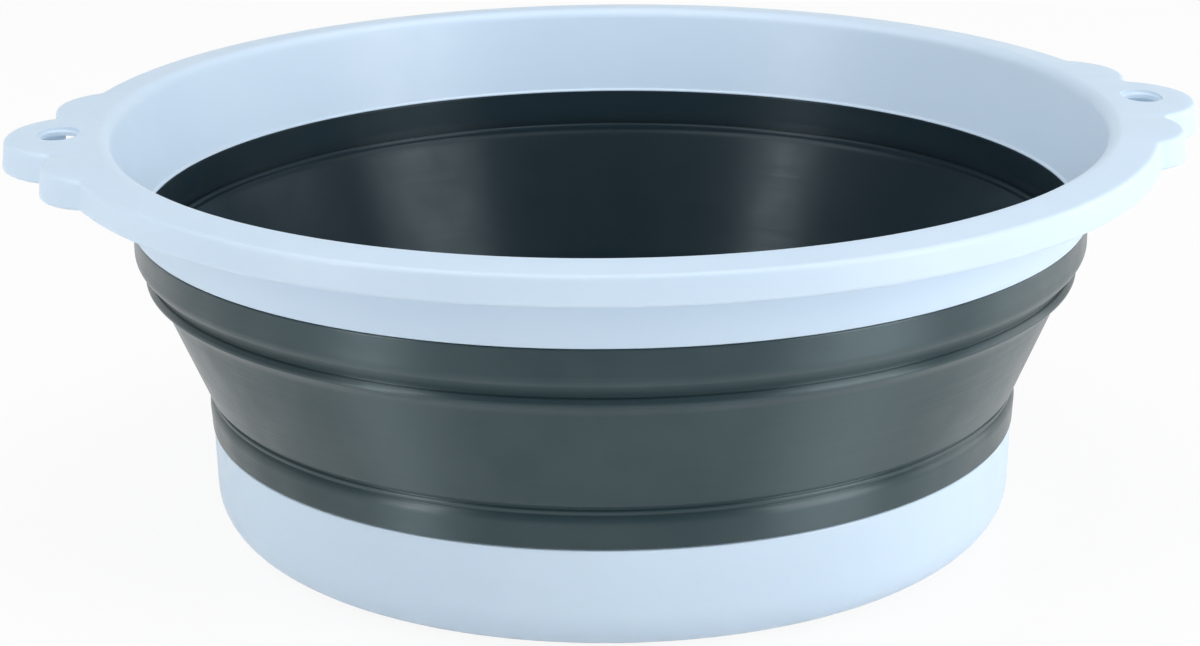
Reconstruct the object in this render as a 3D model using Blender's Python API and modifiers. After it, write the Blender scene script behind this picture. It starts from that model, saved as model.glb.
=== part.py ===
"""Collapsible wash basin: a rigid rim frame, a rigid base pan and a folding elastomer wall between them.

Metres, +Z up. The basin stands on Z = 0 with its axis on Z and its two handles along X. It is drawn
fully open, which is its rest pose. The wall is one moulding on the real basin. Its middle band turns
over when the rim is pushed down, so here that band is cut by upright cylinders into rings that slip
past each other: every ring keeps its radius and travels its own share of the rim's way.
"""

from math import atan2, cos, hypot, pi, radians, sin, sqrt

import bmesh
import bpy

# Heights of the bands that stack up from the floor to the crest of the rim
BASE_HEIGHT = 0.0335
LOWER_BAND_HEIGHT = 0.0118
FOLD_HEIGHT = 0.0392
SHOULDER_HEIGHT = 0.0059
UPPER_BAND_HEIGHT = 0.0100
SKIRT_HEIGHT = 0.0281

# Base pan
BASE_RADIUS = 0.1273
BASE_TAPER = 0.0012
BASE_CORNER = 0.0140
PAN_WALL = 0.0028
PAN_FLOOR = 0.0030

# Elastomer wall, outer face
REVEAL = 0.0003
LOWER_BEAD = 0.0018
LOWER_BEAD_DROP = 0.0008
LOWER_HINGE_DEPTH = 0.0012
LOWER_HINGE_RISE = 0.0009
CONE_RUN = 0.0123
SPREAD = 0.0028
UPPER_BEAD = 0.0013
UPPER_BEAD_DROP = 0.0008
FLANK_HEIGHT = 0.0054
SHOULDER_RUN = 0.0045
WALL = 0.0030
HINGE_DEPTH = 0.0018
HINGE_LIP = 0.0012

# Overmoulded joints between the wall and the two rigid pieces
TONGUE = 0.0012
TONGUE_HEIGHT = 0.0050

# Rim frame
SKIRT_WALL = 0.0035
SKIRT_LEAN = 0.0084
LIP_ROUND = 0.0025
FLANGE_WIDTH = 0.0129
FLANGE_FALL = 0.0013
FLANGE_THICKNESS = 0.0020
LIP_DEPTH = 0.0094
LIP_DRAFT = 0.0010
EDGE_ROUND = 0.0010

# Handles: three round lobes on each side, with a slot to hang the basin by
MIDDLE_LOBE_RADIUS = 0.0265
MIDDLE_LOBE_REACH = 0.0170
SIDE_LOBE_RADIUS = 0.0235
SIDE_LOBE_REACH = 0.0075
SIDE_LOBE_ANGLE = radians(13.1)
NOTCH_ROUND = 0.0025
HANDLE_SINK = 0.0012
HANDLE_DEEPER = 0.0008
HANDLE_WALL = 0.0024
HANDLE_ROOT = 0.0030
POCKET_SPREAD = radians(2.0)
SLOT_WIDTH = 0.0110
SLOT_LENGTH = 0.0150
SLOT_EDGE = 0.0120

# Fits and fineness
GAP = 0.0003
OVERRUN = 0.0020
MERGE = 0.00001
RING_COUNT = 9
SEGMENTS = 60
ARC_STEP = radians(12.0)
SHARP_ANGLE = radians(32.0)

# Heights worked out from the bands
LOWER_HINGE_Z = BASE_HEIGHT + LOWER_BAND_HEIGHT
UPPER_HINGE_Z = LOWER_HINGE_Z + FOLD_HEIGHT
SHOULDER_Z = UPPER_HINGE_Z + SHOULDER_HEIGHT
SKIRT_Z = SHOULDER_Z + UPPER_BAND_HEIGHT
CREST_Z = SKIRT_Z + SKIRT_HEIGHT

# Radii worked out from the base outwards
LOWER_BEAD_RADIUS = BASE_RADIUS - REVEAL + LOWER_BEAD
LOWER_HINGE_RADIUS = LOWER_BEAD_RADIUS - LOWER_HINGE_DEPTH
CONE_TOP_RADIUS = LOWER_BEAD_RADIUS + CONE_RUN
UPPER_HINGE_RADIUS = CONE_TOP_RADIUS + SPREAD
UPPER_BEAD_RADIUS = UPPER_HINGE_RADIUS + UPPER_BEAD
UPPER_BAND_RADIUS = UPPER_HINGE_RADIUS + SHOULDER_RUN
SKIRT_FOOT_RADIUS = UPPER_BAND_RADIUS + REVEAL
INNER_FOOT_RADIUS = SKIRT_FOOT_RADIUS - SKIRT_WALL
CREST_RADIUS = INNER_FOOT_RADIUS + SKIRT_LEAN + LIP_ROUND
FLANGE_RADIUS = CREST_RADIUS + FLANGE_WIDTH
RIM_RADIUS = FLANGE_RADIUS + LIP_DRAFT

# The straight cone of the fold, which the rings cut up
CONE_FOOT_Z = LOWER_HINGE_Z + LOWER_HINGE_RISE
CONE_TOP_Z = UPPER_HINGE_Z - UPPER_BEAD_DROP - FLANK_HEIGHT
CONE_SLOPE = (CONE_TOP_Z - CONE_FOOT_Z) / CONE_RUN
CONE_WALL_Z = WALL * hypot(1, CONE_SLOPE)
CONE_WALL_R = CONE_WALL_Z / CONE_SLOPE

FRAME_COLOUR = (0.70, 0.78, 0.86, 1)
FRAME_ROUGHNESS = 0.42
WALL_COLOUR = (0.055, 0.080, 0.088, 1)
WALL_ROUGHNESS = 0.55


def clear_scene():
    """Remove every object of the open file."""
    for item in list(bpy.data.objects):
        bpy.data.objects.remove(item, do_unlink=True)


def new_collection(name):
    """Return a new collection linked to the scene."""
    group = bpy.data.collections.new(name)
    bpy.context.scene.collection.children.link(group)
    return group


def new_material(name, colour, roughness):
    """Return a Principled material for a moulded plastic."""
    material = bpy.data.materials.new(name)
    material.use_nodes = True
    shader = material.node_tree.nodes["Principled BSDF"]
    shader.inputs["Base Color"].default_value = colour
    shader.inputs["Roughness"].default_value = roughness
    shader.inputs["Metallic"].default_value = 0
    return material


def arc(centre, radius, start, end, step=ARC_STEP):
    """Return points on an arc about centre, from angle start to angle end, both included."""
    count = max(1, round(abs(end - start) / step))
    turns = [start + (end - start) * i / count for i in range(count + 1)]
    return [(centre[0] + radius * cos(turn), centre[1] + radius * sin(turn)) for turn in turns]


def turned(name, profile, group, closed=True):
    """Turn a profile of (radius, height) points about Z; it runs down its outer side."""
    mesh = bpy.data.meshes.new(name)
    edges = [(i, i + 1) for i in range(len(profile) - 1)]
    if closed:
        edges.append((len(profile) - 1, 0))
    mesh.from_pydata([(r, 0, z) for r, z in profile], edges, [])
    piece = bpy.data.objects.new(name, mesh)
    group.objects.link(piece)
    screw = piece.modifiers.new("Turn", "SCREW")
    screw.steps = SEGMENTS
    screw.render_steps = SEGMENTS
    screw.use_merge_vertices = True
    screw.merge_threshold = MERGE
    return piece


def slab(name, outline, low, high, group, chamfer=0):
    """Extrude a flat outline from height low to height high, as a mesh object with chamfered edges."""
    curve = bpy.data.curves.new(name, "CURVE")
    curve.dimensions = "2D"
    curve.fill_mode = "BOTH"
    curve.extrude = (high - low) / 2 - chamfer
    curve.bevel_depth = chamfer
    curve.bevel_resolution = 0
    curve.offset = -chamfer
    spline = curve.splines.new("POLY")
    spline.points.add(len(outline) - 1)
    for point, (x, y) in zip(spline.points, outline):
        point.co = (x, y, 0, 1)
    spline.use_cyclic_u = True
    drawn = bpy.data.objects.new(name + "_outline", curve)
    drawn.location.z = (high + low) / 2
    group.objects.link(drawn)
    bpy.context.view_layer.update()
    mesh = bpy.data.meshes.new_from_object(drawn.evaluated_get(bpy.context.evaluated_depsgraph_get()))
    weld(mesh)
    piece = bpy.data.objects.new(name, mesh)
    piece.matrix_world = drawn.matrix_world
    bpy.data.objects.remove(drawn, do_unlink=True)
    group.objects.link(piece)
    return piece


def weld(mesh):
    """Join the loose caps of a mesh made from a curve to its sides."""
    body = bmesh.new()
    body.from_mesh(mesh)
    bmesh.ops.remove_doubles(body, verts=body.verts, dist=MERGE)
    body.to_mesh(mesh)
    body.free()


def hide_as_cutter(piece):
    """Keep a cutter or guide out of the model."""
    piece.hide_render = True
    piece.display_type = "WIRE"


def combine(piece, other, operation):
    """Add a Boolean with another object, which becomes a guide."""
    step = piece.modifiers.new(other.name, "BOOLEAN")
    step.operation = operation
    step.solver = "EXACT"
    step.object = other
    hide_as_cutter(other)


def settle(piece):
    """Bake the modifiers of an object into its mesh."""
    bpy.context.view_layer.update()
    baked = bpy.data.meshes.new_from_object(piece.evaluated_get(bpy.context.evaluated_depsgraph_get()))
    piece.modifiers.clear()
    piece.data = baked


def finish(piece, material):
    """Give a finished piece its material and its smooth round faces."""
    piece.data.materials.clear()
    piece.data.materials.append(material)
    piece.data.shade_smooth()
    piece.data.set_sharp_from_angle(angle=SHARP_ANGLE)


def cone_z(radius):
    """Return the height of the outer face of the fold's cone at a radius."""
    return CONE_FOOT_Z + (radius - LOWER_BEAD_RADIUS) * CONE_SLOPE


def base_pan_profile():
    """Return the section of the base pan, from the axis over the wall and back under the floor."""
    side_foot = BASE_RADIUS - BASE_TAPER
    corner = (side_foot - BASE_CORNER, BASE_CORNER)
    inner_corner = BASE_CORNER - PAN_WALL
    inner_top = BASE_RADIUS - REVEAL - WALL
    tongue_mid = (BASE_RADIUS - REVEAL + inner_top) / 2
    tongue_top = BASE_HEIGHT + TONGUE_HEIGHT - GAP
    floor_edge = (corner[0], PAN_FLOOR + inner_corner)
    profile = [(0, PAN_FLOOR)]
    profile += arc(floor_edge, inner_corner, -pi / 2, 0, 2 * ARC_STEP)
    profile.append((inner_top, BASE_HEIGHT - GAP / 2))
    profile.append((tongue_mid - TONGUE / 2, BASE_HEIGHT - GAP / 2))
    profile.append((tongue_mid - TONGUE / 2, tongue_top))
    profile.append((tongue_mid + TONGUE / 2, tongue_top))
    profile.append((tongue_mid + TONGUE / 2, BASE_HEIGHT - GAP / 2))
    profile.append((BASE_RADIUS, BASE_HEIGHT - GAP / 2))
    profile += arc(corner, BASE_CORNER, 0, -pi / 2)
    profile.append((0, 0))
    return profile


def groove(mid, face, away):
    """Return the four corners of a groove around a tongue, cut into a face at height face."""
    half = TONGUE / 2 + GAP
    depth = face + away * TONGUE_HEIGHT
    return [(mid - half, face), (mid - half, depth), (mid + half, depth), (mid + half, face)]


def lower_band_profile():
    """Return the section of the wall's lower band, which stays with the base pan."""
    outer = BASE_RADIUS - REVEAL
    inner = outer - WALL
    foot = BASE_HEIGHT + GAP / 2
    mid = (outer + inner) / 2
    bead_z = LOWER_HINGE_Z - LOWER_BEAD_DROP
    cone_inner = LOWER_BEAD_RADIUS - CONE_WALL_R
    profile = [(LOWER_BEAD_RADIUS, CONE_FOOT_Z + CONE_WALL_Z), (LOWER_BEAD_RADIUS, CONE_FOOT_Z)]
    profile.append((LOWER_HINGE_RADIUS, LOWER_HINGE_Z))
    profile.append((LOWER_BEAD_RADIUS, bead_z))
    profile.append((LOWER_BEAD_RADIUS - LOWER_BEAD / 2, bead_z - LOWER_BEAD))
    profile.append((outer, (foot + bead_z) / 2))
    profile.append((outer, foot))
    profile += reversed(groove(mid, foot, 1))
    profile.append((inner, foot))
    profile.append((inner, (foot + bead_z) / 2))
    profile.append((cone_inner - LOWER_HINGE_DEPTH, bead_z))
    profile.append((cone_inner, CONE_FOOT_Z))
    return profile


def fold_ring_profile(index):
    """Return the section of one ring of the fold, between two upright cylinders."""
    low = LOWER_BEAD_RADIUS + GAP
    pitch = (CONE_RUN - GAP) / RING_COUNT
    near = low + index * pitch
    far = near + pitch - GAP
    return [
        (far, cone_z(far) + CONE_WALL_Z),
        (far, cone_z(far)),
        (near, cone_z(near)),
        (near, cone_z(near) + CONE_WALL_Z),
    ]


def upper_band_profile():
    """Return the section of the wall's upper band, which hangs from the rim frame."""
    top = SKIRT_Z - GAP / 2
    inner = INNER_FOOT_RADIUS
    mid = (UPPER_BAND_RADIUS + inner) / 2
    bead_z = UPPER_HINGE_Z - UPPER_BEAD_DROP
    cut_z = CONE_TOP_Z + CONE_WALL_Z
    ledge_z = SHOULDER_Z - HINGE_LIP
    groove_z = UPPER_HINGE_Z + HINGE_DEPTH
    profile = [(UPPER_BAND_RADIUS, top), (UPPER_BAND_RADIUS, SHOULDER_Z + UPPER_BEAD / 2)]
    profile.append((UPPER_BAND_RADIUS - UPPER_BEAD / 2, SHOULDER_Z - UPPER_BEAD / 2))
    profile.append((UPPER_HINGE_RADIUS, UPPER_HINGE_Z))
    profile.append((UPPER_BEAD_RADIUS, bead_z))
    profile.append((UPPER_BEAD_RADIUS - UPPER_BEAD / 2, bead_z - UPPER_BEAD))
    profile.append((CONE_TOP_RADIUS, CONE_TOP_Z))
    profile.append((CONE_TOP_RADIUS, cut_z))
    profile.append((UPPER_HINGE_RADIUS - UPPER_BEAD, cut_z + HINGE_DEPTH))
    profile.append((UPPER_HINGE_RADIUS, groove_z))
    profile.append((inner - HINGE_LIP / 2, ledge_z))
    profile.append((inner, SHOULDER_Z + HINGE_LIP))
    profile.append((inner, top))
    profile += groove(mid, top, -1)
    return profile


def rim_frame_profile():
    """Return the section of the rim frame: skirt, crest, flange and outer lip round a channel."""
    foot = SKIRT_Z + GAP / 2
    mid = (UPPER_BAND_RADIUS + INNER_FOOT_RADIUS) / 2
    tongue_foot = SKIRT_Z - TONGUE_HEIGHT + GAP
    crest_centre = (CREST_RADIUS, CREST_Z - LIP_ROUND)
    edge_centre = (FLANGE_RADIUS - EDGE_ROUND, CREST_Z - FLANGE_FALL - EDGE_ROUND)
    lip_foot = CREST_Z - LIP_DEPTH
    ceiling = CREST_Z - FLANGE_FALL - FLANGE_THICKNESS
    channel_radius = CREST_RADIUS
    skirt_slope = (channel_radius - SKIRT_FOOT_RADIUS) / (CREST_Z - FLANGE_THICKNESS - SKIRT_Z)
    shelf = SKIRT_FOOT_RADIUS + skirt_slope * (ceiling - SKIRT_Z)
    profile = arc(crest_centre, LIP_ROUND, pi, pi / 2, 2 * ARC_STEP)
    profile += arc(edge_centre, EDGE_ROUND, pi / 2, 0, 3 * ARC_STEP)
    profile.append((RIM_RADIUS, lip_foot + EDGE_ROUND / 2))
    profile.append((RIM_RADIUS - EDGE_ROUND / 2, lip_foot))
    profile.append((RIM_RADIUS - FLANGE_THICKNESS, lip_foot))
    profile.append((FLANGE_RADIUS - FLANGE_THICKNESS, ceiling))
    profile.append((shelf + EDGE_ROUND, ceiling + FLANGE_FALL / 2))
    profile.append((shelf, ceiling - EDGE_ROUND))
    profile.append((SKIRT_FOOT_RADIUS, foot + EDGE_ROUND / 2))
    profile.append((SKIRT_FOOT_RADIUS - EDGE_ROUND / 2, foot))
    profile.append((mid + TONGUE / 2, foot))
    profile.append((mid + TONGUE / 2, tongue_foot))
    profile.append((mid - TONGUE / 2, tongue_foot))
    profile.append((mid - TONGUE / 2, foot))
    profile.append((INNER_FOOT_RADIUS, foot))
    return profile


def tangent_round(one, two, radius):
    """Return the centre of a round that touches two circles (x, y, radius) from outside."""
    span = hypot(two[0] - one[0], two[1] - one[1])
    near = one[2] + radius
    far = two[2] + radius
    along = (near ** 2 - far ** 2 + span ** 2) / (2 * span)
    aside = sqrt(near ** 2 - along ** 2)
    ux, uy = (two[0] - one[0]) / span, (two[1] - one[1]) / span
    return (one[0] + ux * along + uy * aside, one[1] + uy * along - ux * aside)


def heading(start, end):
    """Return the angle of the line from one point to another."""
    return atan2(end[1] - start[1], end[0] - start[0])


def handle_outline(inset, rim_radius, root_radius, spread):
    """Return the outline of the right handle, its lobes drawn in by inset.

    It leaves a rim circle, runs anticlockwise round the three lobes and back to that circle, which it
    follows for the angle spread at both ends, and closes along the arc of its root.
    """
    side_centre = RIM_RADIUS + SIDE_LOBE_REACH - SIDE_LOBE_RADIUS
    side_x, side_y = side_centre * cos(SIDE_LOBE_ANGLE), side_centre * sin(SIDE_LOBE_ANGLE)
    middle_x = RIM_RADIUS + MIDDLE_LOBE_REACH - MIDDLE_LOBE_RADIUS
    rim = (0, 0, rim_radius)
    lower = (side_x, -side_y, SIDE_LOBE_RADIUS - inset)
    middle = (middle_x, 0, MIDDLE_LOBE_RADIUS - inset)
    notch = NOTCH_ROUND + inset
    first = tangent_round(rim, lower, notch)
    second = tangent_round(lower, middle, notch)
    half = arc(first, notch, heading(first, rim), heading(first, lower) + turn_back(first, rim, lower))
    half += arc(lower, lower[2], heading(lower, first), heading(lower, second))
    bend = heading(second, middle) + turn_back(second, lower, middle)
    half += arc(second, notch, heading(second, lower), bend)
    half += arc(middle, middle[2], heading(middle, second), 0)
    end = heading(rim, first)
    outline = drop_repeats(arc(rim, rim_radius, end - spread, end) + half)
    outline += [(x, -y) for x, y in reversed(outline[:-1])]
    return outline + arc(rim, root_radius, spread - end, end - spread, POCKET_SPREAD)


def turn_back(centre, start, end):
    """Return the whole turn that keeps a concave round's sweep from start to end negative."""
    sweep = heading(centre, end) - heading(centre, start)
    return -2 * pi if sweep > 0 else 0


def drop_repeats(points):
    """Return points without any that repeats the one before it."""
    kept = [points[0]]
    for point in points[1:]:
        if hypot(point[0] - kept[-1][0], point[1] - kept[-1][1]) > MERGE:
            kept.append(point)
    return kept


def slot_outline():
    """Return the outline of the right handle's hanging slot, long across the handle."""
    radius = SLOT_WIDTH / 2
    offset = (SLOT_LENGTH - SLOT_WIDTH) / 2
    x = RIM_RADIUS + MIDDLE_LOBE_REACH - SLOT_EDGE - radius
    far_end = arc((x, offset), radius, 0, pi, 2 * ARC_STEP)
    near_end = arc((x, -offset), radius, pi, 2 * pi, 2 * ARC_STEP)
    return far_end + near_end


def half_turn(outline):
    """Return an outline turned half a turn about Z."""
    return [(-x, -y) for x, y in outline]


def add_handle(frame, side, cutters):
    """Join one handle to the rim frame, hollow it from below and cut its hanging slot."""
    place = half_turn if side == "left" else list
    top = CREST_Z - HANDLE_SINK
    foot = CREST_Z - LIP_DEPTH - HANDLE_DEEPER
    ceiling = CREST_Z - FLANGE_FALL - FLANGE_THICKNESS - GAP
    channel = FLANGE_RADIUS - FLANGE_THICKNESS - EDGE_ROUND
    root = CREST_RADIUS + EDGE_ROUND
    solid = handle_outline(0, RIM_RADIUS, root + HANDLE_ROOT, 0)
    hollow = handle_outline(HANDLE_WALL, channel, root, POCKET_SPREAD)
    blank = slab(f"{side}_handle_blank", place(solid), foot, top, cutters, chamfer=EDGE_ROUND / 2)
    pocket = slab(f"{side}_handle_pocket", place(hollow), foot - OVERRUN, ceiling, cutters)
    slot = slab(f"{side}_hanging_slot", place(slot_outline()), foot - OVERRUN, CREST_Z + OVERRUN, cutters)
    combine(frame, blank, "UNION")
    combine(frame, pocket, "DIFFERENCE")
    combine(frame, slot, "DIFFERENCE")


def build_basin():
    """Build every piece of the basin."""
    clear_scene()
    basin = new_collection("collapsible_wash_basin")
    cutters = new_collection("cutters")
    frame_plastic = new_material("frame_plastic", FRAME_COLOUR, FRAME_ROUGHNESS)
    wall_elastomer = new_material("wall_elastomer", WALL_COLOUR, WALL_ROUGHNESS)

    finish(turned("base_pan", base_pan_profile(), basin, closed=False), frame_plastic)
    finish(turned("wall_lower_band", lower_band_profile(), basin), wall_elastomer)
    for index in range(RING_COUNT):
        ring = turned(f"wall_fold_ring_{index + 1:02d}", fold_ring_profile(index), basin)
        finish(ring, wall_elastomer)
    finish(turned("wall_upper_band", upper_band_profile(), basin), wall_elastomer)

    frame = turned("rim_frame", rim_frame_profile(), basin)
    settle(frame)
    for side in ("right", "left"):
        add_handle(frame, side, cutters)
    settle(frame)
    finish(frame, frame_plastic)


build_basin()
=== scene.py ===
"""Collapsible wash basin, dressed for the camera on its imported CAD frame.

The basin is three mouldings: a pale rim frame with two scalloped handles, a dark flexible wall, and a
pale base pan. Each is a class below that holds its sizes in metres, builds its mesh and dresses it. All
of them are turned about Z from a section whose corners are rounded first.
"""

import logging
import math
from dataclasses import dataclass, field
from enum import Enum
from functools import cached_property
from typing import Iterable, Optional, Sequence

import bmesh
import bpy
from mathutils import Matrix, Quaternion, Vector


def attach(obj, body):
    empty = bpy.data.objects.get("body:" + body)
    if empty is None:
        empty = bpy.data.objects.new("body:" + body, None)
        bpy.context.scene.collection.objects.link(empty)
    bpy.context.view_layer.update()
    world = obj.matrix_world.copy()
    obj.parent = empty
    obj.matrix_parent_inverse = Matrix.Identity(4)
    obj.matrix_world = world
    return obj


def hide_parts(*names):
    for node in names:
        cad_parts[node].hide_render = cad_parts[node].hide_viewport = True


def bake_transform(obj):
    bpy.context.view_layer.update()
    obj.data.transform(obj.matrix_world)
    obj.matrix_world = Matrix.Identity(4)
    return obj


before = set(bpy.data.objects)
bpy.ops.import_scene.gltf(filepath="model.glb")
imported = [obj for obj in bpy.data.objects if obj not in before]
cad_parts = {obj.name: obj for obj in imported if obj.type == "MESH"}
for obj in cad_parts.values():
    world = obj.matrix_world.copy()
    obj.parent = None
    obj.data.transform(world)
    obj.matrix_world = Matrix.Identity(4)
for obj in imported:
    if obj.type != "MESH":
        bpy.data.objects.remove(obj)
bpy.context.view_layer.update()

LOG = logging.getLogger("wash_basin")

# Points nearer to each other than this are one
WELD = 0.000001
# How far inside its ends a long straight edge is cut, so that flat faces shade flat
HOLD = 0.0003
# Room left between the wall and the rigid pieces that it is moulded on
SLIP = 0.00015

Socket = bpy.types.NodeSocket
Colour = tuple[float, float, float, float]
Pair = tuple[float, float]


class Place(Enum):
    """Where a finish reads the place that its pattern follows."""

    OBJECT = "object"
    MOULDED = "moulded_place"


class Side(Enum):
    """The two handles, by the sign of X."""

    RIGHT = 1
    LEFT = -1


class Window(Enum):
    """The part of a noise's values that a finish stretches over its own range."""

    WIDE = (0.32, 0.68)
    EVEN = (0.35, 0.65)
    BLOOM = (0.38, 0.70)
    SCUFF = (0.42, 0.62)
    PATCH = (0.48, 0.66)
    SPECK = (0.55, 0.75)
    RUB = (0.66, 0.80)


# Finishes


class NodeBench:
    """A material under construction, with short calls for the nodes that the finishes use."""

    def __init__(self, name: str, place: Place) -> None:
        """Start a material with its Principled shader and the coordinate that its patterns follow.

        Args:
            name: Name of the material.
            place: Where its patterns read their coordinates.
        """
        self.material = bpy.data.materials.new(name)
        self.material.use_nodes = True
        self.tree = self.material.node_tree
        self.shader = self.tree.nodes["Principled BSDF"]
        if place is Place.MOULDED:
            source = self.add("ShaderNodeAttribute")
            source.attribute_name = Place.MOULDED.value
            self.place = source.outputs["Vector"]
        else:
            self.place = self.add("ShaderNodeTexCoord").outputs["Object"]

    def add(self, kind: str, **inputs: object) -> bpy.types.Node:
        """Add a node and set or link its inputs.

        Args:
            kind: Blender's name for the node type.
            **inputs: Values or output sockets, by socket name with spaces written as underscores.

        Returns:
            The new node.
        """
        node = self.tree.nodes.new(kind)
        for name, value in inputs.items():
            self.feed(node.inputs[name.replace("_", " ")], value)
        return node

    def feed(self, socket: Socket, value: object) -> None:
        """Link a socket to an output, or set it to a plain value.

        Args:
            socket: The input socket.
            value: An output socket, or a number or tuple for the input itself.
        """
        if isinstance(value, Socket):
            self.tree.links.new(value, socket)
        else:
            socket.default_value = value

    def dress(self, **inputs: object) -> None:
        """Set or link the shader's own inputs, named as for add."""
        for name, value in inputs.items():
            self.feed(self.shader.inputs[name.replace("_", " ")], value)

    def stretched(self, scale: Sequence[float]) -> Socket:
        """Return the place with each axis scaled, so that a pattern draws out along an axis."""
        return self.add("ShaderNodeMapping", Vector=self.place, Scale=tuple(scale)).outputs["Vector"]

    def turning(self) -> Socket:
        """Work out the direction in which the piece was turned.

        Returns:
            The direction round the Z axis at each point, as a vector socket.
        """
        node = self.add("ShaderNodeVectorMath")
        node.operation = "CROSS_PRODUCT"
        node.inputs[0].default_value = (0.0, 0.0, 1.0)
        self.feed(node.inputs[1], self.place)
        return node.outputs["Vector"]

    def noise(self, scale: float, detail: float, along: Optional[Socket] = None) -> Socket:
        """Return a noise value.

        Args:
            scale: Cells per metre.
            detail: Octaves of finer noise.
            along: Coordinate that it follows, or None for the finish's own place.

        Returns:
            The value socket, about 0.3 to 0.7 for most of the surface.
        """
        vector = self.place if along is None else along
        return self.add("ShaderNodeTexNoise", Vector=vector, Scale=scale, Detail=detail).outputs["Fac"]

    def spread(self, value: Socket, span: Pair, result: Pair) -> Socket:
        """Map a value from one span to another and hold it inside.

        Args:
            value: The value socket.
            span: Values that are mapped to the two ends of result.
            result: Lowest and highest result.

        Returns:
            The mapped value's socket.
        """
        node = self.add("ShaderNodeMapRange", Value=value)
        for name, number in zip(("From Min", "From Max", "To Min", "To Max"), (*span, *result)):
            node.inputs[name].default_value = number
        return node.outputs["Result"]

    def sum(self, one: Socket, other: object, operation: str = "ADD") -> Socket:
        """Combine two values by a Math operation.

        Args:
            one: The first value.
            other: The second value, a socket or a number.
            operation: Blender's name for the operation.

        Returns:
            The result's socket.
        """
        node = self.add("ShaderNodeMath")
        node.operation = operation
        self.feed(node.inputs[0], one)
        self.feed(node.inputs[1], other)
        return node.outputs["Value"]

    def blend(self, share: Socket, plain: object, other: object) -> Socket:
        """Mix two colours.

        Args:
            share: Share of the other colour.
            plain: Colour where the share is 0.
            other: Colour where the share is 1.

        Returns:
            The mixed colour's socket.
        """
        node = self.add("ShaderNodeMix")
        node.data_type = "RGBA"
        self.feed(node.inputs["Factor"], share)
        self.feed(node.inputs[6], plain)
        self.feed(node.inputs[7], other)
        return node.outputs[2]

    def bumps(self, layers: Iterable[tuple[Socket, float, float]]) -> Socket:
        """Lay height layers over each other.

        Args:
            layers: Each layer's height socket, its strength and its depth in metres.

        Returns:
            The bumped normal's socket.
        """
        normal: Optional[Socket] = None
        for height, strength, depth in layers:
            node = self.add("ShaderNodeBump", Height=height, Strength=strength, Distance=depth)
            if normal is not None:
                self.feed(node.inputs["Normal"], normal)
            normal = node.outputs["Normal"]
        return normal


@dataclass(frozen=True)
class MouldedPlastic:
    """Pale satin polypropylene: a fine spark-eroded grain, slow sink marks, faint rubs and a scuffed foot.

    Args:
        name: Name of the material.
        colour: Colour of clean plastic.
        shade: Colour where the plastic runs a little deeper.
        rubbed: Colour of faint rubs and of the scuffed foot.
        roughness: Lowest and highest roughness of the satin.
        matting: Roughness that a full rub adds.
        foot: Height up to which the piece is scuffed by what it stands on, or 0 for none.
        clouds: Cells per metre of the drift between colour and shade.
        rubs: Cells per metre of the rubs, along X, Y and Z.
        patches: Cells per metre of the patches in which the rubs lie.
        scuffs: Cells per metre of the scuffing.
        satin: Cells per metre of the roughness.
        sinks: Cells per metre of the sink marks.
        sink_depth: Depth of the sink marks.
        grain: Cells per metre of the grain.
        grain_depth: Depth of the grain.
        soaking: Share of the light that soaks in.
        soaking_depth: How far it soaks in.
    """

    name: str
    colour: Colour = (0.600, 0.733, 0.866, 1.0)
    shade: Colour = (0.576, 0.710, 0.851, 1.0)
    rubbed: Colour = (0.560, 0.640, 0.730, 1.0)
    roughness: Pair = (0.34, 0.46)
    matting: float = 0.14
    foot: float = 0.0
    clouds: float = 11.0
    rubs: tuple[float, float, float] = (900.0, 60.0, 160.0)
    patches: float = 38.0
    scuffs: float = 240.0
    satin: float = 120.0
    sinks: float = 26.0
    sink_depth: float = 0.0009
    grain: float = 1900.0
    grain_depth: float = 0.00005
    soaking: float = 0.12
    soaking_depth: float = 0.003

    def made(self) -> bpy.types.Material:
        """Make the material.

        Returns:
            The finished material.
        """
        bench = NodeBench(self.name, Place.OBJECT)
        worn = self._wear(bench)
        cloud = bench.spread(bench.noise(self.clouds, 3.0), Window.EVEN.value, (0.0, 1.0))
        tone = bench.blend(cloud, self.colour, self.shade)
        satin = bench.spread(bench.noise(self.satin, 5.0), Window.WIDE.value, self.roughness)
        sunk = (bench.noise(self.sinks, 1.0), 0.10, self.sink_depth)
        grained = (bench.noise(self.grain, 2.0), 0.16, self.grain_depth)
        bench.dress(
            Base_Color=bench.blend(worn, tone, self.rubbed),
            Roughness=bench.sum(satin, bench.sum(worn, self.matting, "MULTIPLY")),
            Normal=bench.bumps((sunk, grained)),
            IOR=1.49,
            Subsurface_Weight=self.soaking,
            Subsurface_Radius=(0.9, 1.0, 1.2),
            Subsurface_Scale=self.soaking_depth,
        )
        return bench.material

    def _wear(self, bench: NodeBench) -> Socket:
        """Work out where the plastic is rubbed, and scuffed near its foot.

        Args:
            bench: The material under construction.

        Returns:
            The share of wear, as a value socket.
        """
        streak = bench.noise(1.0, 5.0, bench.stretched(self.rubs))
        rub = bench.spread(streak, Window.RUB.value, (0.0, 0.5))
        patch = bench.spread(bench.noise(self.patches, 2.0), Window.PATCH.value, (0.0, 1.0))
        worn = bench.sum(rub, patch, "MULTIPLY")
        if not self.foot:
            return worn
        height = bench.add("ShaderNodeSeparateXYZ", Vector=bench.place).outputs["Z"]
        low = bench.spread(height, (0.0, self.foot), (0.8, 0.0))
        broken = bench.spread(bench.noise(self.scuffs, 6.0), Window.SCUFF.value, (0.15, 1.0))
        return bench.sum(worn, bench.sum(low, broken, "MULTIPLY"), "MAXIMUM")


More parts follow.
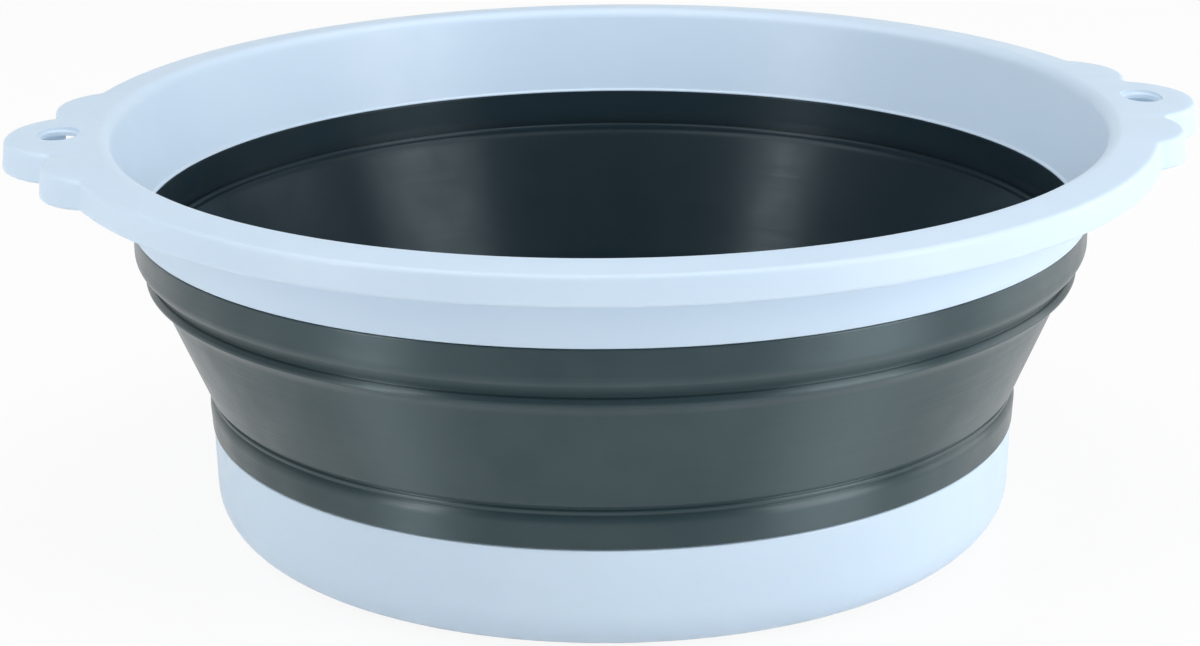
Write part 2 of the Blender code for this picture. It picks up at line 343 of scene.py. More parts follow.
@dataclass(frozen=True)
class MouldedElastomer:
    """Dark slate elastomer, with the fine rings of its turned mould that draw each highlight out upright.

    Args:
        name: Name of the material.
        colour: Colour of the clean wall.
        bloom: Colour where the wall has the pale bloom of handled elastomer.
        roughness: Lowest and highest roughness.
        gloss: Specular level of the surface.
        tint: Colour of its reflections.
        drawn: How far the rings draw a highlight out across them, from 0 to 1.
        skin: Share of the smoother skin over them, which lights up on beads and shoulders.
        skin_roughness: Roughness of that skin.
        clouds: Cells per metre of the bloom.
        specks: Cells per metre of its specks.
        satin: Cells per metre of the roughness.
        rings: Rings of the mould per metre of height.
        ring_arcs: Breaks of a ring per metre along it.
        ring_depth: Depth of the rings.
        grain: Cells per metre of the grain.
        grain_depth: Depth of the grain.
    """

    name: str
    colour: Colour = (0.008, 0.026, 0.032, 1.0)
    bloom: Colour = (0.014, 0.033, 0.040, 1.0)
    roughness: Pair = (0.43, 0.51)
    gloss: float = 0.82
    tint: Colour = (0.76, 0.95, 1.0, 1.0)
    drawn: float = 0.95
    skin: float = 0.34
    skin_roughness: float = 0.22
    clouds: float = 17.0
    specks: float = 420.0
    satin: float = 75.0
    rings: float = 2400.0
    ring_arcs: float = 14.0
    ring_depth: float = 0.00003
    grain: float = 2600.0
    grain_depth: float = 0.00006

    def made(self) -> bpy.types.Material:
        """Make the material.

        Returns:
            The finished material.
        """
        bench = NodeBench(self.name, Place.MOULDED)
        rings = bench.noise(1.0, 3.0, bench.stretched((self.ring_arcs, self.ring_arcs, self.rings)))
        cloud = bench.spread(bench.noise(self.clouds, 4.0), Window.BLOOM.value, (0.0, 0.8))
        speck = bench.spread(bench.noise(self.specks, 3.0), Window.SPECK.value, (0.0, 0.5))
        satin = bench.spread(bench.noise(self.satin, 5.0), Window.WIDE.value, self.roughness)
        turned = bench.spread(rings, Window.EVEN.value, (-0.03, 0.03))
        grained = (bench.noise(self.grain, 2.0), 0.22, self.grain_depth)
        bench.dress(
            Base_Color=bench.blend(bench.sum(cloud, speck, "MAXIMUM"), self.colour, self.bloom),
            Roughness=bench.sum(satin, turned),
            Normal=bench.bumps(((rings, 0.10, self.ring_depth), grained)),
            Tangent=bench.turning(),
            Anisotropic=self.drawn,
            Anisotropic_Rotation=0.25,
            IOR=1.50,
            Specular_IOR_Level=self.gloss,
            Specular_Tint=self.tint,
            Coat_Weight=self.skin,
            Coat_Roughness=self.skin_roughness,
            Coat_IOR=1.45,
        )
        return bench.material


# Sections and turning


@dataclass(frozen=True)
class Corner:
    """One corner of a section.

    Args:
        radius: Distance from the basin's axis.
        height: Height above the floor.
        round: How far the rounding starts from the corner along both sides, or 0 for none.
        steps: Facets of the rounding.
    """

    radius: float
    height: float
    round: float = 0.0
    steps: int = 3


@dataclass(frozen=True)
class Tongue:
    """The upright ring of a rigid piece that the wall is moulded over.

    Args:
        inner: Its inner radius.
        outer: Its outer radius.
        tip: Height of its free edge.
    """

    inner: float
    outer: float
    tip: float


BASE_TONGUE = Tongue(inner=0.12490, outer=0.12610, tip=0.0382)
RIM_TONGUE = Tongue(inner=0.14620, outer=0.14740, tip=0.0957)


def stretch(start: Corner, end: Corner, count: int, first: float, last: float) -> list[Corner]:
    """Set plain corners evenly along the line between two corners.

    Args:
        start: Corner that the line leaves.
        end: Corner that the line reaches.
        count: How many corners to set.
        first: Share of the line where the first one lies.
        last: Share of the line where the last one lies.

    Returns:
        The corners, in order from start to end.
    """
    shares = [first + (last - first) * i / (count - 1) for i in range(count)]
    across, up = end.radius - start.radius, end.height - start.height
    return [Corner(start.radius + across * share, start.height + up * share) for share in shares]


def drawn_section(corners: Sequence[Corner], closed: bool) -> bmesh.types.BMesh:
    """Draw a section in the XZ plane as edges with rounded corners.

    Args:
        corners: Corners in order.
        closed: True if the last corner joins the first one.

    Returns:
        The section as a bmesh of edges, with each long straight edge also cut just inside its ends.
    """
    section = bmesh.new()
    points = [section.verts.new((c.radius, 0.0, c.height)) for c in corners]
    for start, end in zip(points, points[1:]):
        section.edges.new((start, end))
    if closed:
        section.edges.new((points[-1], points[0]))
    for corner, point in zip(corners, points):
        if corner.round:
            bmesh.ops.bevel(
                section,
                geom=[point],
                offset=corner.round,
                offset_type="OFFSET",
                segments=corner.steps,
                profile=0.5,
                affect="VERTICES",
                material=-1,
            )
    for edge in [e for e in section.edges if e.calc_length() > 8 * HOLD]:
        for end in list(edge.verts):
            bmesh.utils.edge_split(edge, end, HOLD / edge.calc_length())
    return section


def turned_solid(section: bmesh.types.BMesh, sweeps: Sequence[tuple[float, int]]) -> bmesh.types.BMesh:
    """Spin a section through a quarter turn about Z, and mirror the quarter across X and across Y.

    Args:
        section: The section, which becomes the solid.
        sweeps: Angle in degrees and steps of each sweep, which together make the quarter turn.

    Returns:
        The same bmesh, closed, with its faces outwards.
    """
    front = section.verts[:] + section.edges[:]
    for angle, steps in sweeps:
        made = bmesh.ops.spin(
            section,
            geom=front,
            cent=(0.0, 0.0, 0.0),
            axis=(0.0, 0.0, 1.0),
            angle=math.radians(angle),
            steps=steps,
            use_merge=False,
            use_normal_flip=False,
        )
        front = made["geom_last"]
    bmesh.ops.remove_doubles(section, verts=section.verts[:], dist=WELD)
    for axis in "XY":
        whole = section.verts[:] + section.edges[:] + section.faces[:]
        bmesh.ops.mirror(section, geom=whole, matrix=Matrix(), merge_dist=WELD, axis=axis)
    bmesh.ops.recalc_face_normals(section, faces=section.faces[:])
    if section.calc_volume(signed=True) < 0:
        bmesh.ops.reverse_faces(section, faces=section.faces[:])
    return section


def settled(solid: bmesh.types.BMesh, name: str, crease: float) -> bpy.types.Object:
    """Turn a bmesh into a smooth-shaded object at the origin.

    Args:
        solid: The bmesh, which is freed.
        name: Name of the piece.
        crease: Angle in degrees past which an edge stays sharp.

    Returns:
        The new object.
    """
    mesh = bpy.data.meshes.new(name)
    solid.to_mesh(mesh)
    solid.free()
    mesh.shade_smooth()
    mesh.set_sharp_from_angle(angle=math.radians(crease))
    piece = bpy.data.objects.new(name, mesh)
    bpy.context.scene.collection.objects.link(piece)
    return piece


# Rim frame


@dataclass(frozen=True)
class Disc:
    """A round lobe of an outline, seen from above.

    Args:
        x: X of its middle.
        y: Y of its middle.
        radius: Its radius.
    """

    x: float
    y: float
    radius: float

    def far_hit(self, turn: float, inset: float) -> float:
        """Return how far out a ray from the axis leaves the disc drawn in by inset, or 0 if it misses."""
        along, spare = self._ray(turn, self.radius - inset)
        return along + math.sqrt(spare) if spare > 0 else 0.0

    def near_hit(self, turn: float, outset: float) -> float:
        """Return how far out a ray from the axis meets the disc grown by outset, or 0 if it misses."""
        along, spare = self._ray(turn, self.radius + outset)
        return along - math.sqrt(spare) if spare > 0 else 0.0

    def _ray(self, turn: float, radius: float) -> Pair:
        """Return the distance along a ray to the disc's middle and the square left to its edge."""
        along = self.x * math.cos(turn) + self.y * math.sin(turn)
        return along, radius**2 - (self.x**2 + self.y**2 - along**2)

    def touch(self, other: "Disc", gap: float) -> "Disc":
        """Find the disc that softens the notch between this disc and another.

        Args:
            other: The other disc.
            gap: Radius of the new disc.

        Returns:
            The disc that touches both from outside, on the side of positive Y.
        """
        span = math.hypot(other.x - self.x, other.y - self.y)
        near, far = self.radius + gap, other.radius + gap
        along = (near**2 - far**2 + span**2) / (2 * span)
        aside = math.sqrt(near**2 - along**2)
        ux, uy = (other.x - self.x) / span, (other.y - self.y) / span
        x, y = self.x + ux * along, self.y + uy * along
        found = [Disc(x + uy * aside * sign, y - ux * aside * sign, gap) for sign in (1, -1)]
        return max(found, key=lambda disc: disc.y)

    def bearing_towards(self, other: "Disc", outset: float) -> float:
        """Find where this disc faces another.

        Args:
            other: The other disc.
            outset: How far this disc is grown.

        Returns:
            The bearing from the axis, in radians, of the point of this disc that faces the other.
        """
        span = math.hypot(other.x - self.x, other.y - self.y)
        share = (self.radius + outset) / span
        return math.atan2(self.y + (other.y - self.y) * share, self.x + (other.x - self.x) * share)


@dataclass
class ScallopedEdge:
    """Outline of the rim with its two handles, each of three round lobes with softened notches.

    Args:
        rim_radius: Radius of the plain rim.
        middle_radius: Radius of the middle lobe.
        middle_reach: How far the middle lobe stands out of the rim.
        side_radius: Radius of the side lobes.
        side_reach: How far the side lobes stand out of the rim.
        side_angle: Bearing of the side lobes from the middle one, in degrees.
        notch_round: Radius of the notches between the lobes.
    """

    rim_radius: float = 0.1700
    middle_radius: float = 0.0265
    middle_reach: float = 0.0170
    side_radius: float = 0.0235
    side_reach: float = 0.0075
    side_angle: float = 13.1
    notch_round: float = 0.0025

    @cached_property
    def discs(self) -> tuple[Disc, Disc, Disc]:
        """Work out the lobes of the right handle.

        Returns:
            The rim, one side lobe and the middle lobe.
        """
        turn = math.radians(self.side_angle)
        out = self.rim_radius + self.side_reach - self.side_radius
        side = Disc(out * math.cos(turn), out * math.sin(turn), self.side_radius)
        middle = Disc(self.rim_radius + self.middle_reach - self.middle_radius, 0.0, self.middle_radius)
        return Disc(0.0, 0.0, self.rim_radius), side, middle

    @cached_property
    def notches(self) -> tuple[tuple[Disc, Disc, Disc], ...]:
        """Work out the notches.

        Returns:
            Each notch's own disc, with the two discs that it lies between.
        """
        rim, side, middle = self.discs
        between = ((rim, side), (side, middle))
        return tuple((one.touch(other, self.notch_round), one, other) for one, other in between)

    def reach(self, x: float, y: float, inset: float) -> float:
        """Return the distance from the axis to the outline on the bearing of a point.

        Args:
            x: The point's X.
            y: The point's Y.
            inset: How far the outline is drawn in.

        Returns:
            The distance in metres.
        """
        turn = math.atan2(abs(y), abs(x))
        for notch, one, other in self.notches:
            ends = sorted((notch.bearing_towards(one, inset), notch.bearing_towards(other, inset)))
            if ends[0] <= turn <= ends[1]:
                return notch.near_hit(turn, inset)
        return max(disc.far_hit(turn, inset) for disc in self.discs)


@dataclass(frozen=True)
class RimFrame:
    """The rigid rim: skirt, rolled lip, sloping flange, outer lip, and the handles with their slots.

    Args:
        edge: Outline of the rim and its handles.
        crest_height: Height of the top of the rolled lip.
        lip_round: Rounding of the rolled lip.
        stretch_from: Radius from which the flange stretches out into the handles.
        stretch_to: Radius from which the outer lip follows the outline at its own width.
        flange_depth: Depth below the crest that takes in the flange but not the foot of the outer lip.
        handle_deeper: How much deeper the handles' lip hangs.
        handle_lift: How much higher the handles' flat is than the plain edge.
        slot_middle: Distance from the axis to the middle of a hanging slot.
        slot_size: Width of a slot along X and its length along Y.
        slot_end: Share of the slot's half width that rounds its ends.
        slot_steps: Facets of a quarter turn of its ends.
        slot_face: Depth below the crest of the handle's flat at the slot.
        slot_flare: Rounding of a slot's upper edge.
        flare_steps: Facets of that rounding.
        cut_below: How far the cut goes down from the flat.
        cut_above: How far the cut stands over the flat.
        sweeps: Angle in degrees and steps, over the lobes from a handle's middle, and on to the plain side.
        crease: Angle in degrees past which an edge stays sharp.
        finish: Its plastic.
    """

    edge: ScallopedEdge = field(default_factory=ScallopedEdge)
    crest_height: float = 0.1285
    lip_round: float = 0.0036
    stretch_from: float = 0.1588
    stretch_to: float = 0.1660
    flange_depth: float = 0.005
    handle_deeper: float = 0.0005
    handle_lift: float = 0.0001
    slot_middle: float = 0.1695
    slot_size: Pair = (0.0110, 0.0150)
    slot_end: float = 0.999
    slot_steps: int = 12
    slot_face: float = 0.0012
    slot_flare: float = 0.0007
    flare_steps: int = 6
    cut_below: float = 0.008
    cut_above: float = 0.003
    sweeps: tuple[tuple[float, int], ...] = ((25.0, 125), (65.0, 65))
    crease: float = 40.0
    finish: MouldedPlastic = MouldedPlastic("satin_rim_plastic")

    def section(self) -> list[Corner]:
        """Lay out the section.

        Returns:
            Its corners, from the rolled lip out over the flange, down the lip and back to the skirt.
        """
        crest = Corner(0.15450, 0.12885, self.lip_round, 8)
        outer = Corner(0.16900, 0.12715, 0.0012, 5)
        channel = Corner(0.16690, 0.12500, 0.0008, 3)
        shelf = Corner(0.15600, 0.12580, 0.0009, 3)
        skirt_foot = 0.10040
        return [
            # Rolled lip and the flange's upper face
            crest,
            *stretch(crest, outer, 5, 0.36, 0.86),
            outer,
            # Outer lip, and the flange's underside
            Corner(0.17000, 0.11870, 0.0010, 4),
            Corner(0.16790, 0.11870, 0.0007, 3),
            channel,
            *stretch(channel, shelf, 4, 0.16, 0.74),
            shelf,
            # Foot of the skirt, with its tongue
            Corner(0.14870, skirt_foot, 0.0007, 4),
            Corner(RIM_TONGUE.outer, skirt_foot),
            Corner(RIM_TONGUE.outer, RIM_TONGUE.tip),
            Corner(RIM_TONGUE.inner, RIM_TONGUE.tip),
            Corner(RIM_TONGUE.inner, skirt_foot),
            Corner(0.14520, skirt_foot, 0.0002, 2),
            Corner(0.14520, 0.10090, 0.0002, 2),
            Corner(0.14590, 0.10125, 0.0003, 2),
        ]

    def build(self) -> bpy.types.Object:
        """Build, dress and place the rim frame.

        Returns:
            Its object.
        """
        solid = turned_solid(drawn_section(self.section(), closed=True), self.sweeps)
        self._draw_out_handles(solid)
        piece = settled(solid, "rim_frame_moulding", self.crease)
        self._cut_slots(piece)
        piece.data.set_sharp_from_angle(angle=math.radians(self.crease))
        piece.data.materials.append(self.finish.made())
        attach(piece, "rim")
        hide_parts("rim_frame")
        return piece

    def _draw_out_handles(self, solid: bmesh.types.BMesh) -> None:
        """Move the flange and the outer lip out to the scalloped outline.

        Args:
            solid: The plain round rim.
        """
        rim = self.edge.rim_radius
        for vert in solid.verts:
            radius = math.hypot(vert.co.x, vert.co.y)
            if radius <= self.stretch_from:
                continue
            full = self.edge.reach(vert.co.x, vert.co.y, 0.0) - rim
            if full < WELD:
                continue
            if radius >= self.stretch_to:
                moved = self.edge.reach(vert.co.x, vert.co.y, rim - radius)
            else:
                share = (radius - self.stretch_from) / (self.stretch_to - self.stretch_from)
                far = self.edge.reach(vert.co.x, vert.co.y, rim - self.stretch_to)
                moved = self.stretch_from + (far - self.stretch_from) * share
            vert.co.x *= moved / radius
            vert.co.y *= moved / radius
            grown = min(1.0, full / self.edge.side_reach)
            below = vert.co.z < self.crest_height - self.flange_depth
            vert.co.z += -self.handle_deeper * grown if below else self.handle_lift * grown

    def _cut_slots(self, piece: bpy.types.Object) -> None:
        """Cut both hanging slots.

        Args:
            piece: The rim frame, which gets the cut mesh.
        """
        tools = bmesh.new()
        for side in Side:
            self._add_slot_tool(tools, side)
        cutter = settled(tools, "slot_cutter", self.crease)
        cut = piece.modifiers.new("hanging_slots", "BOOLEAN")
        cut.operation = "DIFFERENCE"
        cut.solver = "EXACT"
        cut.object = cutter
        bpy.context.view_layer.update()
        cut_piece = piece.evaluated_get(bpy.context.evaluated_depsgraph_get())
        piece.data = bpy.data.meshes.new_from_object(cut_piece)
        piece.modifiers.clear()
        bpy.data.objects.remove(cutter, do_unlink=True)

    def _add_slot_tool(self, tools: bmesh.types.BMesh, side: Side) -> None:
        """Add the solid of one slot, which flares at the handle's flat so that the slot's edge is round.

        Args:
            tools: The bmesh that it is added to.
            side: Which handle.
        """
        width, length = self.slot_size
        top = self.crest_height - self.slot_face
        footprint = Matrix.Diagonal((width, length, 1.0, 1.0))
        made = bmesh.ops.create_grid(tools, x_segments=1, y_segments=1, size=0.5, matrix=footprint)
        rounded = bmesh.ops.bevel(
            tools,
            geom=made["verts"],
            offset=width / 2 * self.slot_end,
            offset_type="OFFSET",
            segments=self.slot_steps,
            profile=0.5,
            affect="VERTICES",
            material=-1,
        )
        cap = list({face for vert in rounded["verts"] for face in vert.link_faces})
        drawn = list(cap[0].verts)
        bmesh.ops.translate(tools, verts=drawn, vec=(0.0, 0.0, top - self.cut_below))
        turns = [math.radians(90 * step / self.flare_steps) for step in range(self.flare_steps + 1)]
        flare = self.slot_flare
        rings = [(top - flare * math.cos(turn), flare * (1 - math.cos(turn))) for turn in turns]
        reached = 0.0
        for index, (height, spread) in enumerate([*rings, (top + self.cut_above, rings[-1][1])]):
            grown = bmesh.ops.extrude_face_region(tools, geom=cap)["geom"]
            if index:
                bmesh.ops.delete(tools, geom=cap, context="FACES_ONLY")
            cap = [item for item in grown if isinstance(item, bmesh.types.BMFace)]
            for vert in cap[0].verts:
                middle = Vector((0.0, math.copysign((length - width) / 2, vert.co.y), 0.0))
                outward = (vert.co - middle).to_2d().normalized()
                vert.co += Vector((outward.x, outward.y, 0.0)) * (spread - reached)
                vert.co.z = height
                drawn.append(vert)
            reached = spread
        walls = list({face for vert in drawn for face in vert.link_faces})
        bmesh.ops.recalc_face_normals(tools, faces=walls)
        bmesh.ops.translate(tools, verts=drawn, vec=(side.value * self.slot_middle, 0.0, 0.0))


# Flexible wall


@dataclass(frozen=True)
class FlexibleWall:
    """The elastomer wall, one skin from the base pan to the rim frame.

    Args:
        fold_foot: Height of the lower hinge, below which the wall stays with the base pan.
        fold_top: Height of the upper hinge, above which the wall goes with the rim.
        steps: Steps of a quarter turn.
        crease: Angle in degrees past which an edge stays sharp.
        rings: How many CAD rings its folding band stands for.
        midline: Radius and height of points halfway through the wall, from its foot to its top.
        upright: How far a face looks outwards or inwards where that alone tells its side.
        outer_finish: Its elastomer outside.
        inner_finish: Its elastomer inside, where the mould is polished.
    """

    fold_foot: float = 0.0453
    fold_top: float = 0.0845
    steps: int = 72
    crease: float = 45.0
    rings: int = 9
    midline: tuple[Pair, ...] = ((0.1250, 0.0436), (0.1260, 0.0466), (0.1430, 0.0852), (0.1465, 0.0895))
    upright: float = 0.3
    outer_finish: MouldedElastomer = MouldedElastomer("slate_elastomer_outer")
    inner_finish: MouldedElastomer = MouldedElastomer(
        "slate_elastomer_inner",
        colour=(0.004, 0.012, 0.018, 1.0),
        bloom=(0.007, 0.017, 0.024, 1.0),
        roughness=(0.34, 0.42),
        gloss=0.36,
        drawn=0.85,
        skin=0.06,
    )

    def section(self) -> list[Corner]:
        """Lay out the section.

        Returns:
            Its corners, from the top edge down the outer face and up the inner face.
        """
        outer_top = Corner(0.14150, 0.07930, 0.0010, 3)
        outer_foot = Corner(0.12785, 0.04700, 0.0005, 3)
        inner_foot = Corner(0.12470, 0.04690, 0.0008, 3)
        inner_top = Corner(0.14115, 0.08600, 0.0005, 2)
        foot, head = 0.03365, 0.10025
        return [
            # Upper band, shoulder and upper hinge groove
            Corner(0.14840, head, 0.0004, 3),
            Corner(0.14840, 0.09060, 0.0016, 5),
            Corner(0.14360, 0.08560, 0.0006, 3),
            Corner(0.14360, 0.08480, 0.0003, 2),
            # Bead below the groove
            Corner(0.14435, 0.08485, 0.0003, 3),
            Corner(0.14550, 0.08320, 0.0005, 5),
            Corner(0.14525, 0.08245, 0.0004, 4),
            Corner(0.14385, 0.08205, 0.0004, 2),
            # Band that turns over, with lines for it to bend at
            outer_top,
            *stretch(outer_top, outer_foot, 21, 0.06, 0.97),
            outer_foot,
            # Lower hinge groove, with its thin bead
            Corner(0.12640, 0.04610, 0.0003, 2),
            Corner(0.12635, 0.04560, 0.0002, 2),
            Corner(0.12705, 0.04535, 0.0005, 4),
            Corner(0.12695, 0.04410, 0.0005, 4),
            Corner(0.12630, 0.04380, 0.0003, 2),
            # Lower band, over the base pan's tongue
            Corner(0.12770, 0.04240, 0.0016, 6),
            Corner(0.12715, 0.03370, 0.0005, 3),
            Corner(BASE_TONGUE.outer, foot),
            Corner(BASE_TONGUE.outer, 0.03860),
            Corner(BASE_TONGUE.inner, 0.03860),
            Corner(BASE_TONGUE.inner, foot),
            Corner(0.12400, foot, 0.0002, 2),
            Corner(0.12370, 0.04330, 0.0010, 3),
            # Inner face of the band that turns over
            inner_foot,
            *stretch(inner_foot, inner_top, 24, 0.04, 0.96),
            inner_top,
            # Bead and groove inside the upper hinge
            Corner(0.14225, 0.08715, 0.0003, 2),
            Corner(0.14195, 0.08835, 0.0006, 4),
            Corner(0.14270, 0.08915, 0.0005, 4),
            Corner(0.14385, 0.08910, 0.0009, 4),
            Corner(0.14400, 0.08680, 0.0004, 3),
            Corner(0.14490, 0.08790, 0.0004, 2),
            # Inner face of the upper band, and the pocket for the rim's tongue
            Corner(0.14520, 0.09160, 0.0006, 2),
            Corner(0.14520, head, 0.0002, 2),
            Corner(RIM_TONGUE.inner - SLIP, head),
            Corner(RIM_TONGUE.inner - SLIP, 0.09540),
            Corner(RIM_TONGUE.outer + SLIP, 0.09540),
            Corner(RIM_TONGUE.outer + SLIP, head),
        ]

    def build(self) -> bpy.types.Object:
        """Build and dress the wall, and bend it between the base and the rim.

        Returns:
            Its object.
        """
        section = drawn_section(self.section(), closed=True)
        piece = settled(turned_solid(section, [(90.0, self.steps)]), "flexible_wall", self.crease)
        self._keep_moulded_place(piece.data)
        piece.data.materials.append(self.outer_finish.made())
        piece.data.materials.append(self.inner_finish.made())
        for face in piece.data.polygons:
            face.material_index = int(self._faces_inwards(face))
        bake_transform(piece)
        rings = [f"wall_fold_ring_{index:02d}" for index in range(1, self.rings + 1)]
        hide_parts("wall_lower_band", *rings, "wall_upper_band")
        return piece

    def _faces_inwards(self, face: bpy.types.MeshPolygon) -> bool:
        """Tell which side of the wall a face belongs to.

        Args:
            face: A face of the wall.

        Returns:
            True for a face of the inner side.
        """
        radius = math.hypot(face.center.x, face.center.y)
        outwards = (face.normal.x * face.center.x + face.normal.y * face.center.y) / radius
        if abs(outwards) > self.upright:
            return outwards < 0
        low, high = self.midline[0], self.midline[-1]
        for start, end in zip(self.midline, self.midline[1:]):
            if start[1] <= face.center.z <= end[1]:
                low, high = start, end
        share = min(1.0, max(0.0, (face.center.z - low[1]) / (high[1] - low[1])))
        return radius < low[0] + (high[0] - low[0]) * share

    @staticmethod
    def _keep_moulded_place(mesh: bpy.types.Mesh) -> None:
        """Store each point's place as moulded, so that the finish stays put when the wall folds."""
        place = mesh.attributes.new(Place.MOULDED.value, "FLOAT_VECTOR", "POINT")
        place.data.foreach_set("vector", [number for vert in mesh.vertices for number in vert.co])


# Base pan


@dataclass(frozen=True)
class BasePan:
    """The rigid pan that the basin stands on: a flat foot, a rounded corner and an upright wall.

    Args:
        radius: Radius of the wall at its top.
        foot_radius: Radius of the wall where the corner starts.
        corner: Radius of the corner at the foot.
        wall: Thickness of the wall.
        floor: Thickness of the floor.
        height: Height of the wall.
        steps: Steps of a quarter turn.
        crease: Angle in degrees past which an edge stays sharp.
        finish: Its plastic.
    """

    radius: float = 0.1268
    foot_radius: float = 0.1261
    corner: float = 0.0140
    wall: float = 0.0028
    floor: float = 0.0030
    height: float = 0.0335
    steps: int = 72
    crease: float = 40.0
    finish: MouldedPlastic = MouldedPlastic(
        "satin_pan_plastic",
        colour=(0.624, 0.760, 0.892, 1.0),
        shade=(0.600, 0.737, 0.877, 1.0),
        foot=0.0035,
    )

    def section(self) -> list[Corner]:
        """Lay out the section.

        Returns:
            Its corners, from the axis over the floor, up the wall and back under the foot.
        """
        ledge = self.height - SLIP
        return [
            # Floor and inner face of the wall
            Corner(0.0, self.floor),
            Corner(self.foot_radius - self.wall, self.floor, self.corner - self.wall, 8),
            Corner(self.radius - self.wall, ledge, 0.0003, 2),
            # Tongue that the flexible wall is moulded over
            Corner(BASE_TONGUE.inner, ledge),
            Corner(BASE_TONGUE.inner, BASE_TONGUE.tip),
            Corner(BASE_TONGUE.outer, BASE_TONGUE.tip),
            Corner(BASE_TONGUE.outer, ledge),
            # Outer face, rounded corner and foot
            Corner(self.radius, self.height, 0.0007, 4),
            Corner(self.foot_radius - 0.0001, 0.0, self.corner, 14),
            Corner(0.0, 0.0),
        ]

    def build(self) -> bpy.types.Object:
        """Build, dress and place the base pan.

        Returns:
            Its object.
        """
        section = drawn_section(self.section(), closed=False)
        piece = settled(turned_solid(section, [(90.0, self.steps)]), "base_pan_moulding", self.crease)
        piece.data.materials.append(self.finish.made())
        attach(piece, "base")
        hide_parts("base_pan")
        return piece


# Studio


@dataclass(frozen=True)
class Softbox:
    """A flat soft lamp, turned to the middle of the basin.

    Args:
        name: Name of the lamp.
        bearing: Its bearing round the basin in degrees, 0 in front and 90 at the right.
        elevation: Its angle above the floor in degrees.
        away: Its distance from the basin.
        size: Its width and its height.
        power: Its power in watts.
        aimed_at: Height on the basin's axis that it is turned to.
    """

    name: str
    bearing: float
    elevation: float
    away: float
    size: Pair
    power: float
    aimed_at: float = 0.07

    def hang(self) -> None:
        """Add the lamp."""
        lamp = bpy.data.lights.new(self.name, "AREA")
        lamp.shape = "RECTANGLE"
        lamp.size, lamp.size_y = self.size
        lamp.energy = self.power
        holder = bpy.data.objects.new(self.name, lamp)
        turn, lift = math.radians(self.bearing), math.radians(self.elevation)
        out = Vector((math.sin(turn) * math.cos(lift), -math.cos(turn) * math.cos(lift), math.sin(lift)))
        holder.location = Vector((0.0, 0.0, self.aimed_at)) + out * self.away
        holder.rotation_mode = "QUATERNION"
        holder.rotation_quaternion = (-out).to_track_quat("-Z", "Y")
        holder.visible_camera = False
        bpy.context.scene.collection.objects.link(holder)


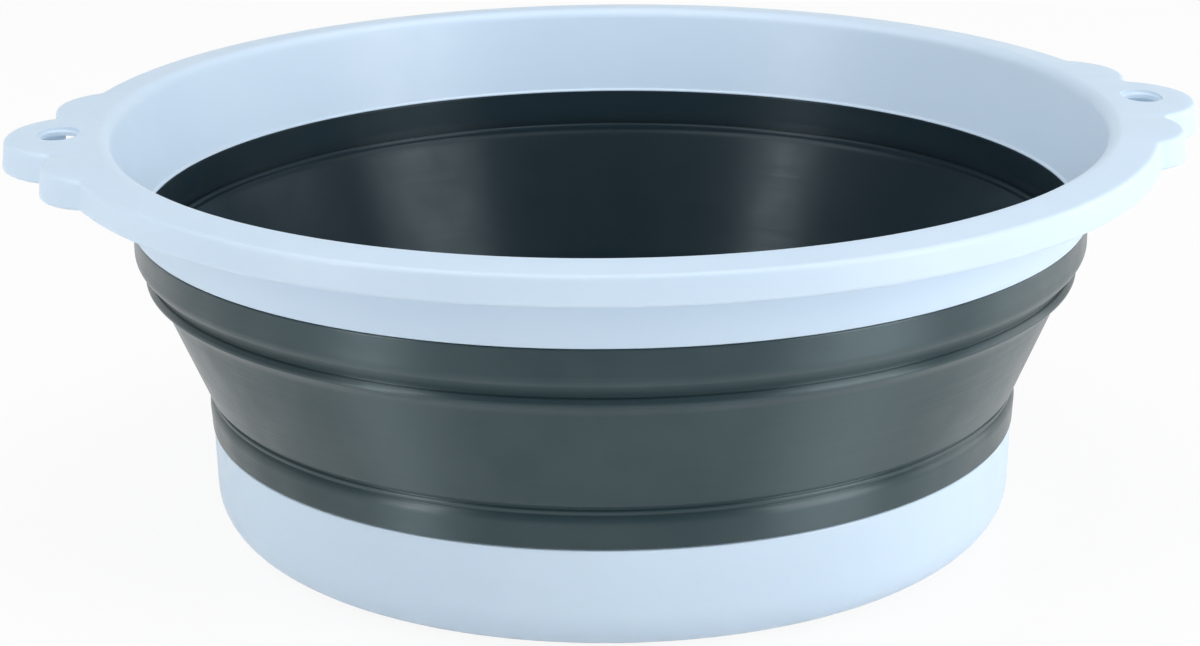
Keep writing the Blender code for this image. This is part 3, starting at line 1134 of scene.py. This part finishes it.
@dataclass(frozen=True)
class Studio:
    """Pale floor that sweeps up into a low wall all round, soft lamps, a dim room above and the camera.

    Args:
        floor_radius: Radius of the floor.
        floor_gap: Gap under the basin, so that no two faces lie in one plane.
        floor_steps: Sides of the round floor.
        sweep_height: Height of the wall that the floor sweeps up into.
        sweep_round: Rounding between the floor and the wall.
        sweep_steps: Facets of that rounding.
        floor_colour: Colour of the floor.
        floor_roughness: Roughness of the floor.
        floor_glow: Share of plain white that the camera sees in the floor, which leaves the shadow.
        surround: Strength of the room's own light.
        lamps: The soft lamps.
        camera_place: Where the camera stands.
        aim: The point that it looks at.
        roll: How far it is rolled, in degrees.
        lens: Focal length in millimetres.
        sensor: Width of the sensor in millimetres.
        shift: Sideways shift of the frame, in sensor widths.
        clip: Nearest and farthest distance that the camera sees.
    """

    floor_radius: float = 4.0
    floor_gap: float = 0.0002
    floor_steps: int = 96
    sweep_height: float = 1.0
    sweep_round: float = 0.5
    sweep_steps: int = 8
    floor_colour: Colour = (0.94, 0.94, 0.94, 1.0)
    floor_roughness: float = 0.3
    floor_glow: float = 0.90
    surround: float = 0.24
    lamps: tuple[Softbox, ...] = (
        Softbox("right_softbox", 52.0, 19.0, 1.30, (0.66, 1.00), 10.2),
        Softbox("right_window", 98.0, 12.0, 1.30, (0.80, 0.60), 3.0),
        Softbox("left_softbox", -60.0, 20.0, 1.30, (0.27, 1.00), 5.6),
        Softbox("left_skylight", -90.0, 66.0, 1.50, (1.0, 1.0), 7.6),
        Softbox("right_skylight", 100.0, 72.0, 1.50, (1.0, 1.0), 7.2),
    )
    camera_place: tuple[float, float, float] = (-0.0939, -0.9086, 0.3559)
    aim: tuple[float, float, float] = (0.0, 0.0, 0.0597)
    roll: float = -0.568
    lens: float = 90.49
    sensor: float = 36.0
    shift: float = -0.0096
    clip: Pair = (0.05, 20.0)

    def build(self) -> None:
        """Set up the floor, the lamps, the surround, the camera and the view."""
        self._lay_floor()
        for lamp in self.lamps:
            lamp.hang()
        self._light_surround()
        self._stand_camera()
        bpy.context.scene.view_settings.view_transform = "Standard"

    def _lay_floor(self) -> None:
        """Lay the round floor and its sweep."""
        sweep = bmesh.new()
        bmesh.ops.create_circle(sweep, cap_ends=True, segments=self.floor_steps, radius=self.floor_radius)
        brim = sweep.edges[:]
        raised = bmesh.ops.extrude_edge_only(sweep, edges=brim)["geom"]
        walls = [item for item in raised if isinstance(item, bmesh.types.BMVert)]
        bmesh.ops.translate(sweep, verts=walls, vec=(0.0, 0.0, self.sweep_height))
        bmesh.ops.bevel(
            sweep,
            geom=brim,
            offset=self.sweep_round,
            offset_type="OFFSET",
            segments=self.sweep_steps,
            profile=0.5,
            affect="EDGES",
            material=-1,
        )
        bmesh.ops.translate(sweep, verts=sweep.verts[:], vec=(0.0, 0.0, -self.floor_gap))
        bmesh.ops.recalc_face_normals(sweep, faces=sweep.faces[:])
        floor = settled(sweep, "studio_floor", 60.0)
        floor.data.materials.append(self._floor_paint())

    def _floor_paint(self) -> bpy.types.Material:
        """Mix the floor's paint, which looks white to the camera and keeps the basin's shadow.

        Returns:
            The finished material.
        """
        bench = NodeBench("studio_floor_paint", Place.OBJECT)
        bench.dress(Base_Color=self.floor_colour, Roughness=self.floor_roughness)
        glow = bench.add("ShaderNodeEmission")
        share = bench.sum(self._seen(bench), self.floor_glow, "MULTIPLY")
        mix = bench.add("ShaderNodeMixShader", Fac=share)
        bench.feed(mix.inputs[1], bench.shader.outputs["BSDF"])
        bench.feed(mix.inputs[2], glow.outputs["Emission"])
        bench.feed(bench.tree.nodes["Material Output"].inputs["Surface"], mix.outputs["Shader"])
        return bench.material

    def _seen(self, bench: NodeBench) -> Socket:
        """Tell the rays that show the floor from the light that it throws on the basin.

        Args:
            bench: The floor's material under construction.

        Returns:
            A value socket that is 1 for camera, glossy and transmission rays, and 0 for others.
        """
        path = bench.add("ShaderNodeLightPath")
        mirrored = bench.sum(path.outputs["Is Camera Ray"], path.outputs["Is Glossy Ray"], "MAXIMUM")
        return bench.sum(mirrored, path.outputs["Is Transmission Ray"], "MAXIMUM")

    def _light_surround(self) -> None:
        """Give the room round the floor a plain dim light."""
        world = bpy.data.worlds.new("studio_surround")
        world.use_nodes = True
        background = world.node_tree.nodes["Background"]
        background.inputs["Color"].default_value = (1.0, 1.0, 1.0, 1.0)
        background.inputs["Strength"].default_value = self.surround
        bpy.context.scene.world = world

    def _stand_camera(self) -> None:
        """Stand the camera at the photograph's viewing angle."""
        lens = bpy.data.cameras.new("view_camera")
        lens.sensor_width = self.sensor
        lens.lens = self.lens
        lens.shift_x = self.shift
        lens.clip_start, lens.clip_end = self.clip
        camera = bpy.data.objects.new("view_camera", lens)
        camera.location = self.camera_place
        camera.rotation_mode = "QUATERNION"
        look = (Vector(self.aim) - Vector(self.camera_place)).to_track_quat("-Z", "Y")
        camera.rotation_quaternion = look @ Quaternion((0.0, 0.0, 1.0), math.radians(self.roll))
        bpy.context.scene.collection.objects.link(camera)
        bpy.context.scene.camera = camera


# The whole basin


def main() -> None:
    """Build the studio and the three mouldings, and report each piece."""
    logging.basicConfig(level=logging.INFO, format="%(name)s: %(message)s")
    Studio().build()
    for part in (BasePan(), FlexibleWall(), RimFrame()):
        piece = part.build()
        LOG.info("%s: %d faces from %s", piece.name, len(piece.data.polygons), type(part).__name__)


if __name__ == "__main__":
    main()
